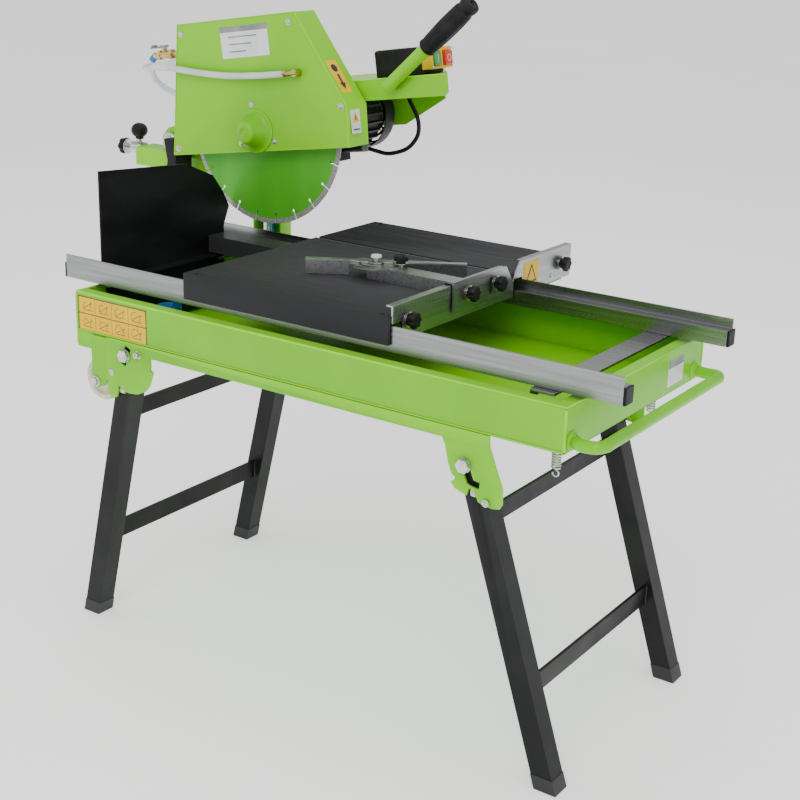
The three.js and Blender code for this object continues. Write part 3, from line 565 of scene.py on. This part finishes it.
# cable glands on the motor lead
gland = [(9.5, 0), (9.5, 5), (8.2, 5.5), (8.2, 9), (6.8, 12), (5.0, 13), (4.2, 13)]
lathe("lead_gland_motor", [(r_ * 0.95, h_) for r_, h_ in gland], (368, 330, -38), (0.98, 0, -0.2), grey, "head", MH, n=6)
lathe("lead_gland_arm", gland, (474, 330, 88.6), (0.05, 0, -1), grey, "head", MH, n=6)
# ------------------------------------------------------------------ tub pressing: walls, floor, sump, folded rim
def tub_pressing():
    x, y, top, pan, sump, sx, w, lip = 481, 233, 620.5, 550, 521, -312, 2.5, 22
    bm = bmesh.new()
    for b in ((-x, x, -y, -y + w, pan, top - 0.2), (-x, x, y - w, y, pan, top - 0.2), (-x, -x + w, -y, y, sump, top - 0.2), (x - w, x, -y, y, pan, top - 0.2),
              (sx - w, x, -y, y, pan, pan + w), (-x, sx, -y, -178 + w, pan, pan + w), (-x, sx, 178 - w, y, pan, pan + w),
              (-x, sx, -178, 178, sump, sump + w), (-x, sx, -178, -178 + w, sump, pan + 1), (-x, sx, 178 - w, 178, sump, pan + 1), (sx - w, sx, -178, 178, sump, pan + 1),
              (-x, -409, -y, -y + w, sump, pan + 1), (-x, -409, y - w, y, sump, pan + 1),
              (-x, x, -y, -y + lip, top - 4, top), (-x, x, y - lip, y, top - 4, top), (x - lip, x, -y + lip, y - lip, top - 4, top), (-x, -x + 4, -y + lip, y - lip, top - 4, top)):
        boxbm(*b, bm=bm)
    return obj("tub_pressing", bm, MF, green, "base", bevel=1.0, seg=3, repl=("water_tub",))


tub_pressing()
# drain boss and drain plug in the pan
lathe("drain_boss", [(19, 0), (18.4, 2.2), (15, 3.0), (13, 2.2), (12.6, 0.8), (0.05, 0.6)], (400, -150, 552.4), (0, 0, 1), green, "base", n=48)
lathe("drain_plug", [(10.5, 0), (10.5, 4), (9.2, 5.6), (4, 6.2), (0.05, 6.2)], (400, -150, 553), (0, 0, 1), rubber, "base", n=36)
# ------------------------------------------------------------------ tub details
# front and rear seam strips, corner welds, rim bead
block("tub_seam_front", (-479, 479, -234.6, -232.9, 551.5, 554), green, "base", bevel=0.5)
block("tub_seam_rear", (-479, 479, 232.9, 234.6, 551.5, 554), green, "base", bevel=0.5)
for i, (x, y) in enumerate([(-481, -233), (481, -233), (481, 233), (-481, 233)]):
    z0_ = 521 if x < 0 else 550
    tube(f"tub_corner_weld_{i}", [D(x * 0.9985, y * 0.9985, z) for z in (z0_ + 4, 580, 616)], 0.0021, green, "base", 4)
tube("tub_rim_bead", [D(*p) for p in [(-480, -232, 619), (480, -232, 619), (480, 232, 619), (-480, 232, 619), (-480, -232, 619)]], 0.0019, green, "base", 5)
# warning panel without writing: frame, cells and plain shapes
pan = [(-474, 619.2 - 3), (-316, 597)]
def pz(x, z):
    return z
Xa, Xb, Zt, Zb, Zm = -476, -315, 613.5, 552.5, 583
block("side_panel", (Xa, Xb, -233.4, -233.0, Zb, Zt), yellow, "base", bevel=0.1)
def ink_shape(name, polys, y, body="base", m=None, mt=MF):
    bm = bmesh.new()
    for poly in polys:
        bm.faces.new([bm.verts.new((x, y, z)) for x, z in poly])
    return obj(name, bm, mt, m or ink, body, wn=False)
def rect(x0, x1, z0, z1):
    return [(x0, z0), (x1, z0), (x1, z1), (x0, z1)]
def frame_rect(x0, x1, z0, z1, w=0.8):
    return [rect(x0, x1, z0, z0 + w), rect(x0, x1, z1 - w, z1), rect(x0, x0 + w, z0, z1), rect(x1 - w, x1, z0, z1)]
def arc_line(cx_, cz_, r_, a0, a1, w=0.7, n=8):
    out = []
    for k in range(n):
        t0, t1 = a0 + (a1 - a0) * k / n, a0 + (a1 - a0) * (k + 1) / n
        out.append([(cx_ + r_ * math.cos(t0), cz_ + r_ * math.sin(t0)), (cx_ + r_ * math.cos(t1), cz_ + r_ * math.sin(t1)), (cx_ + (r_ - w) * math.cos(t1), cz_ + (r_ - w) * math.sin(t1)), (cx_ + (r_ - w) * math.cos(t0), cz_ + (r_ - w) * math.sin(t0))])
    return out
def stroke(x0, z0, x1, z1, w=0.8):
    d = math.hypot(x1 - x0, z1 - z0)
    ux, uz = -(z1 - z0) / d * w / 2, (x1 - x0) / d * w / 2
    return [(x0 + ux, z0 + uz), (x1 + ux, z1 + uz), (x1 - ux, z1 - uz), (x0 - ux, z0 - uz)]
S = frame_rect(Xa, Xb, Zb, Zt, 1.7) + [rect(Xa, Xb, Zm - 0.7, Zm + 0.7)]
for row in range(2):
    for k in range(4):
        x0_, x1_ = Xa + 3 + 39 * k, Xa + 41 + 39 * k
        z0_, z1_ = (Zm + 2.5, Zt - 3.5) if row else (Zb + 3.5, Zm - 2.5)
        if k < 3:
            S.append(rect(x1_ - 0.3, x1_ + 0.3, z0_, z1_))
        mx_, mz_ = (x0_ + x1_) / 2, (z0_ + z1_) / 2
        S += arc_line(mx_ - 4, mz_, 6 + k, 0.2 + row, 3.6 + row)
        S += [stroke(mx_ - 12, mz_ - 7, mx_ + 11, mz_ + 4 + 2 * row), stroke(mx_ - 9, mz_ - 8, mx_ + 12, mz_ - 8), stroke(mx_ + 6, mz_ - 7, mx_ + 9, mz_ + 8 - k)]
ink_shape("side_panel_marks", S, -233.75)
# plain plate at the operator's end of the tub
block("end_plate", (480.9, 481.5, 103, 160, 562, 604), white, "base", bevel=0.1)
block("end_plate_band", (481.4, 481.8, 103, 160, 592, 604), grey, "base", bevel=0.1)
# ------------------------------------------------------------------ rails: left end caps, bolts, tie at the left
for n_, s in (("front", -1), ("rear", 1)):
    block(f"rail_left_cap_{n_}", (-549, -545.3, min(s * 193, s * 169), max(s * 193, s * 169), 626, 652), rubber, "base", bevel=0.8)
    for x in (-455, 430):
        hexbolt(f"rail_bolt_{n_}_{'l' if x < 0 else 'r'}", (x, s * 181, 625.8), (0, 0, -1), 11, 5, "base", washer=True)
block("rail_tie_left", (-476, -444, 97, 190, 621, 625.6), steel, "base", bevel=0.8)
# ------------------------------------------------------------------ springs with hooks under the tub
def spring(name, x, y, z0_, z1_, R, r_, turns, body="base"):
    pts = [D(x, y, z1_ + 12), D(x, y, z1_ + 4)]
    n_ = turns * 18
    for i in range(n_ + 1):
        t = 2 * math.pi * i / 18
        pts.append(D(x + R * math.cos(t), y + R * math.sin(t), z1_ + (z0_ - z1_) * i / n_))
    pts += [D(x, y, z0_ - 3)] + [D(x + 5 * math.sin(q), y, z0_ - 9 + 5 * math.cos(q)) for q in [0.3 * k for k in range(17)]]
    return tube(name, pts, r_ / 1000, bolt_m, body, 3)
spring("leg_spring_right", 432, -160, 497, 545, 6.5, 1.3, 12)
spring("leg_spring_right_rear", 432, 160, 497, 545, 6.5, 1.3, 12)
spring("leg_spring_left", -300, 150, 492, 532, 6.5, 1.3, 10)
# ------------------------------------------------------------------ leg plate bolts
for i, (x, z, y) in enumerate([(-331.9, 534.4, 237.05), (338.4, 456.0, 233.4), (362.5, 447.5, 240.0), (-396.9, 489.5, 237.05), (-376.5, 461.5, 233.4)]):
    for s, f in ((-1, "f"), (1, "r")):
        if i in (1, 4):
            block(f"plate_tab_{f}{i}", (x - 6, x + 6, min(s * 229.4, s * 233.4), max(s * 229.4, s * 233.4), z - 6, z + 7), green, "base", bevel=0.6)
        screw(f"plate_screw_{f}{i}", (x, s * y, z), (0, s, 0), 4.0, "base")
for s, f in ((-1, "f"), (1, "r")):
    lathe(f"allen_bolt_{f}", [(6.6, 0), (6.6, 1), (5.2, 1.2), (5.2, 7.9), (4.6, 8.6), (2.6, 8.6), (2.6, 6), (0.05, 6)], (-331.9, s * 237.3, 534.4), (0, s, 0), bolt_m, "base", n=28)
for px, pz_, b_ in ((-363, 527, "left_legs"), (322, 497, "right_legs")):
    for s, f in ((-1, "f"), (1, "r")):
        hexbolt(f"pivot_cap_{b_}_{f}", (px, s * 239.5, pz_), (0, s, 0), 20.6, 6.45, b_, washer=False, m=bolt_m)
# cross-bar weld beads
for nm, px, pz_, foot, up_, lo_ in (("left_legs", -363, 527, -482, 415, 166), ("right_legs", 322, 497, 486.5, 412, 152)):
    dx = (foot - px) / pz_
    X = lambda z: px + dx * (pz_ - z)
    for s, f in ((-1, "f"), (1, "r")):
        for k, z in (("u", up_), ("l", lo_)):
            yy = s * (211.5 - 17.7)
            pts = [D(X(z) + q[0], yy, z + q[1]) for q in ((-3.4, -15), (-3.4, 15), (3.4, 15), (3.4, -15), (-3.4, -15))]
            tube(f"weld_{nm}_{f}{k}", pts, 0.0014, black, nm, 3)
# ------------------------------------------------------------------ table: steel slot edging and screws
block("table_slot_edge_f", (-261, 121, 156.3, 157.6, 680.9, 681.9), steel, "table", bevel=0.3)
for i, (x, y) in enumerate([(-240, -190), (-240, 335), (135, -190), (135, 335)]):
    screw(f"table_screw_{i}", (x, y, 681.45), (0, 0, 1), 3.0, "table", m=black)
# ------------------------------------------------------------------ fence: scale, plate
S = []
for k in range(0, 30):
    y = -185 + k * 10
    if 60 < 0:
        pass
    h = 9 if k % 5 == 0 else 5
    S.append((y, h))
bm = bmesh.new()
for y, h in S:
    if -36 < y < 122:
        continue
    vs = [bm.verts.new((158.12, yy, zz)) for yy, zz in ((y, 694), (y + 0.7, 694), (y + 0.7, 694 - h), (y, 694 - h))]
    bm.faces.new(vs)
obj("fence_scale", bm, MF, ink, "table", wn=False)
block("fence_plate_yellow", (158.0, 158.5, 199, 250, 650, 692), yellow, "table", bevel=0.1)
bm = bmesh.new()
for poly in ([(205, 655), (244, 655), (224.5, 689)],):
    o_ = [bm.verts.new((158.7, y, z)) for y, z in poly]
    bm.faces.new(o_)
obj("fence_plate_triangle", bm, MF, ink, "table", wn=False)
bm = bmesh.new()
bm.faces.new([bm.verts.new((158.85, y, z)) for y, z in [(211, 658.5), (238, 658.5), (224.5, 682)]])
bm.faces.new([bm.verts.new((158.95, y, z)) for y, z in [(222, 662), (227, 662), (226, 674), (223, 674)]])
obj("fence_plate_mark", bm, MF, yellow, "table", wn=False)
for i, y in enumerate((-184, 300)):
    screw(f"fence_screw_{i}", (158.1, y, 652), (1, 0, 0), 3.4, "table")
# ------------------------------------------------------------------ gauge: protractor ticks, arc slot, pivot cap
bm = bmesh.new()
for k in range(0, 31):
    t = math.radians(200 + k * 4)
    r0_, r1_ = (36, 43) if k % 5 == 0 else (39, 43)
    c_, s_ = math.cos(t), math.sin(t)
    q = 0.35
    bm.faces.new([bm.verts.new((-2 + rr * c_ - w_ * s_, -14 + rr * s_ + w_ * c_, 706.62)) for rr, w_ in ((r0_, -q), (r1_, -q), (r1_, q), (r0_, q))])
obj("gauge_ticks", bm, MF, ink, "gauge", wn=False)
bm = bmesh.new()
vs = []
arc = [math.radians(212 + 4 * k) for k in range(25)]
bm.faces.new([bm.verts.new((-2 + 31 * math.cos(t), -14 + 31 * math.sin(t), 706.6)) for t in arc] + [bm.verts.new((-2 + 25 * math.cos(t), -14 + 25 * math.sin(t), 706.6)) for t in arc[::-1]])
obj("gauge_arc_slot", bm, MF, ink, "gauge", wn=False)
lathe("gauge_pivot_cap", [(9.2, 0), (9.2, 2.6), (8.4, 3.6), (4, 4.4), (0.05, 4.4)], (-2, -14, 716.5), (0, 0, 1), white, "gauge", n=32)
# ------------------------------------------------------------------ switch box and switch
for i, (x, y) in enumerate([(493, 234), (578, 234), (493, 294), (578, 294)]):
    screw(f"switch_box_screw_{i}", (x, y, 91.5 + 46.05), (0, 0, 1), 3.2, "head", MH)
block("switch_box_lid", (488.5, 582.5, 229.5, 298.5, 134, 139.2), rubber, "head", MH, bevel=1.4)
for i, (y, z) in enumerate([(234.5, 103), (293.5, 103), (234.5, 133), (293.5, 133)]):
    screw(f"switch_screw_{i}", (606.05, y, z), (1, 0, 0), 1.8, "head", MH)
block("switch_lid_rim", (600, 607.5, 261, 265.2, 103, 131), yellow, "head", MH, bevel=0.8)
bm = bmesh.new()
def yz(bm, x, pts):
    bm.faces.new([bm.verts.new((x, y, z)) for y, z in pts])
yz(bm, 609.06, [(248.4, 110), (249.6, 110), (249.6, 124), (248.4, 124)])
obj("start_mark", bm, MH, white, "start", wn=False)
bm = bmesh.new()
ro, ri = 6.0, 4.8
for k in range(24):
    t0, t1 = 2 * math.pi * k / 24, 2 * math.pi * (k + 1) / 24
    yz(bm, 613.06, [(278 + ro * math.cos(t0), 117 + ro * math.sin(t0)), (278 + ro * math.cos(t1), 117 + ro * math.sin(t1)), (278 + ri * math.cos(t1), 117 + ri * math.sin(t1)), (278 + ri * math.cos(t0), 117 + ri * math.sin(t0))])
obj("stop_mark", bm, MH, white, "stop", wn=False)
# ------------------------------------------------------------------ water valve parts: nuts, barb, clamp, hose collar, lever paddle
lathe("valve_nut_a", [(9.2, 0), (10.4, 0.8), (10.4, 8.2), (9.2, 9)], (-16, 206, 168), (1, 0, 0), brass, "head", MH, n=6)
lathe("valve_nut_b", [(9.2, 0), (10.4, 0.8), (10.4, 8.2), (9.2, 9)], (14, 206, 168), (1, 0, 0), brass, "head", MH, n=6)
lathe("valve_barb", [(4.6, 0), (6, 3), (4.6, 4), (6, 7), (4.6, 8), (6, 11), (4.6, 12), (4.0, 15)], (-16, 206, 168), (-1, 0, 0), brass, "head", MH, n=28)
lathe("hose_clamp_valve", [(6.1, 0), (6.9, 0.4), (6.9, 10.6), (6.1, 11)], (-27, 206, 166.8), (-0.8, 0, -0.6), blue, "head", MH, n=28)
lathe("hose_collar_front", [(5.0, 0), (6.4, 0.6), (6.4, 9.4), (5.0, 10)], (360, 120, 115.2), (1, 0, 0), brass, "head", MH, n=6)
lathe("valve_lever_paddle", [(4, 0), (6.2, 0.5), (6.8, 2), (6.2, 3.4), (3, 4.1), (0.05, 4.2)], (-26, 206, 184.3), (0, 0, 1), grey, "lever", MH, n=28)
# ------------------------------------------------------------------ head pivot: nut, screws, arm seam bead
hexbolt("pivot_nut_front", (0, 190.0, 0), (0, -1, 0), 26, 9, "head", MH)
for i, (x, z) in enumerate([(28, 2), (60, 24), (66, -22)]):
    screw(f"arm_screw_{i}", (x, 195.4, z), (0, -1, 0), 3.6, "head", MH)
tube("arm_hood_seam", [HD(*p) for p in [(205, 196, 91), (654, 196, 91), (655, 201, 91), (452, 503.5, 91), (206, 503.5, 91)]], 0.0016, green, "head", 4)
# ------------------------------------------------------------------ telescopic post seen behind the table
lathe("column_post", [(9, 0), (9.4, 1), (9.4, 60), (7.0, 62), (7.0, 126), (0.05, 127)], (-512, 322, 600), (0, 0, 1), bolt_m, "base", n=40)
tube("column_hose", [D(*p) for p in catmull([[-497, 320, 520], [-496, 319, 580], [-498, 320, 640], [-497, 319, 700], [-496, 320, 730]])], 0.0042, blue, "base", 4)
# ------------------------------------------------------------------ floor and light
bm = bmesh.new()
boxv = [bm.verts.new(p) for p in ((-60, -40, 0), (60, -40, 0), (60, 90, 0), (-60, 90, 0))]
bm.faces.new(boxv)
me = bpy.data.meshes.new("floor")
bm.to_mesh(me)
bm.free()
floor = bpy.data.objects.new("floor", me)
SC.objects.link(floor)
floor.location.z = -0.0005
fm = mat("m_floor", (0.93, 0.93, 0.93), (0.96, 0.96, 0.96), rough=(0.8, 0.9), scale=0.8, bump=0.01, bscale=3, spec=0.1)
for nd in fm.node_tree.nodes:
    if nd.type == 'BSDF_PRINCIPLED':
        nd.inputs["Emission Color"].default_value = (1, 1, 1, 1)
        nd.inputs["Emission Strength"].default_value = 0.55
me.materials.append(fm)


def area(name, loc, target, size, energy, colour=(1, 1, 1)):
    l = bpy.data.lights.new(name, 'AREA')
    l.shape = 'RECTANGLE'
    l.size, l.size_y = size
    l.energy = energy
    l.color = colour
    o = bpy.data.objects.new(name, l)
    SC.objects.link(o)
    o.location = loc
    o.rotation_euler = (Vector(target) - Vector(loc)).to_track_quat('-Z', 'Y').to_euler()


area("key", (1.2, -3.2, 3.6), (0, 0, 0.6), (2.6, 2.6), 105)
area("fill", (4.2, -0.6, 2.0), (0, 0, 0.6), (2.4, 2.4), 26)
area("top", (-0.5, 0.8, 4.2), (0, 0, 0.5), (3.4, 3.0), 42)
area("left", (-3.6, -1.6, 1.8), (0, 0, 0.7), (1.6, 2.6), 20)
w = bpy.data.worlds.new("world")
w.use_nodes = True
bg = w.node_tree.nodes["Background"]
bg.inputs[0].default_value = (1, 1, 1, 1)
bg.inputs[1].default_value = 0.72
bpy.context.scene.world = w
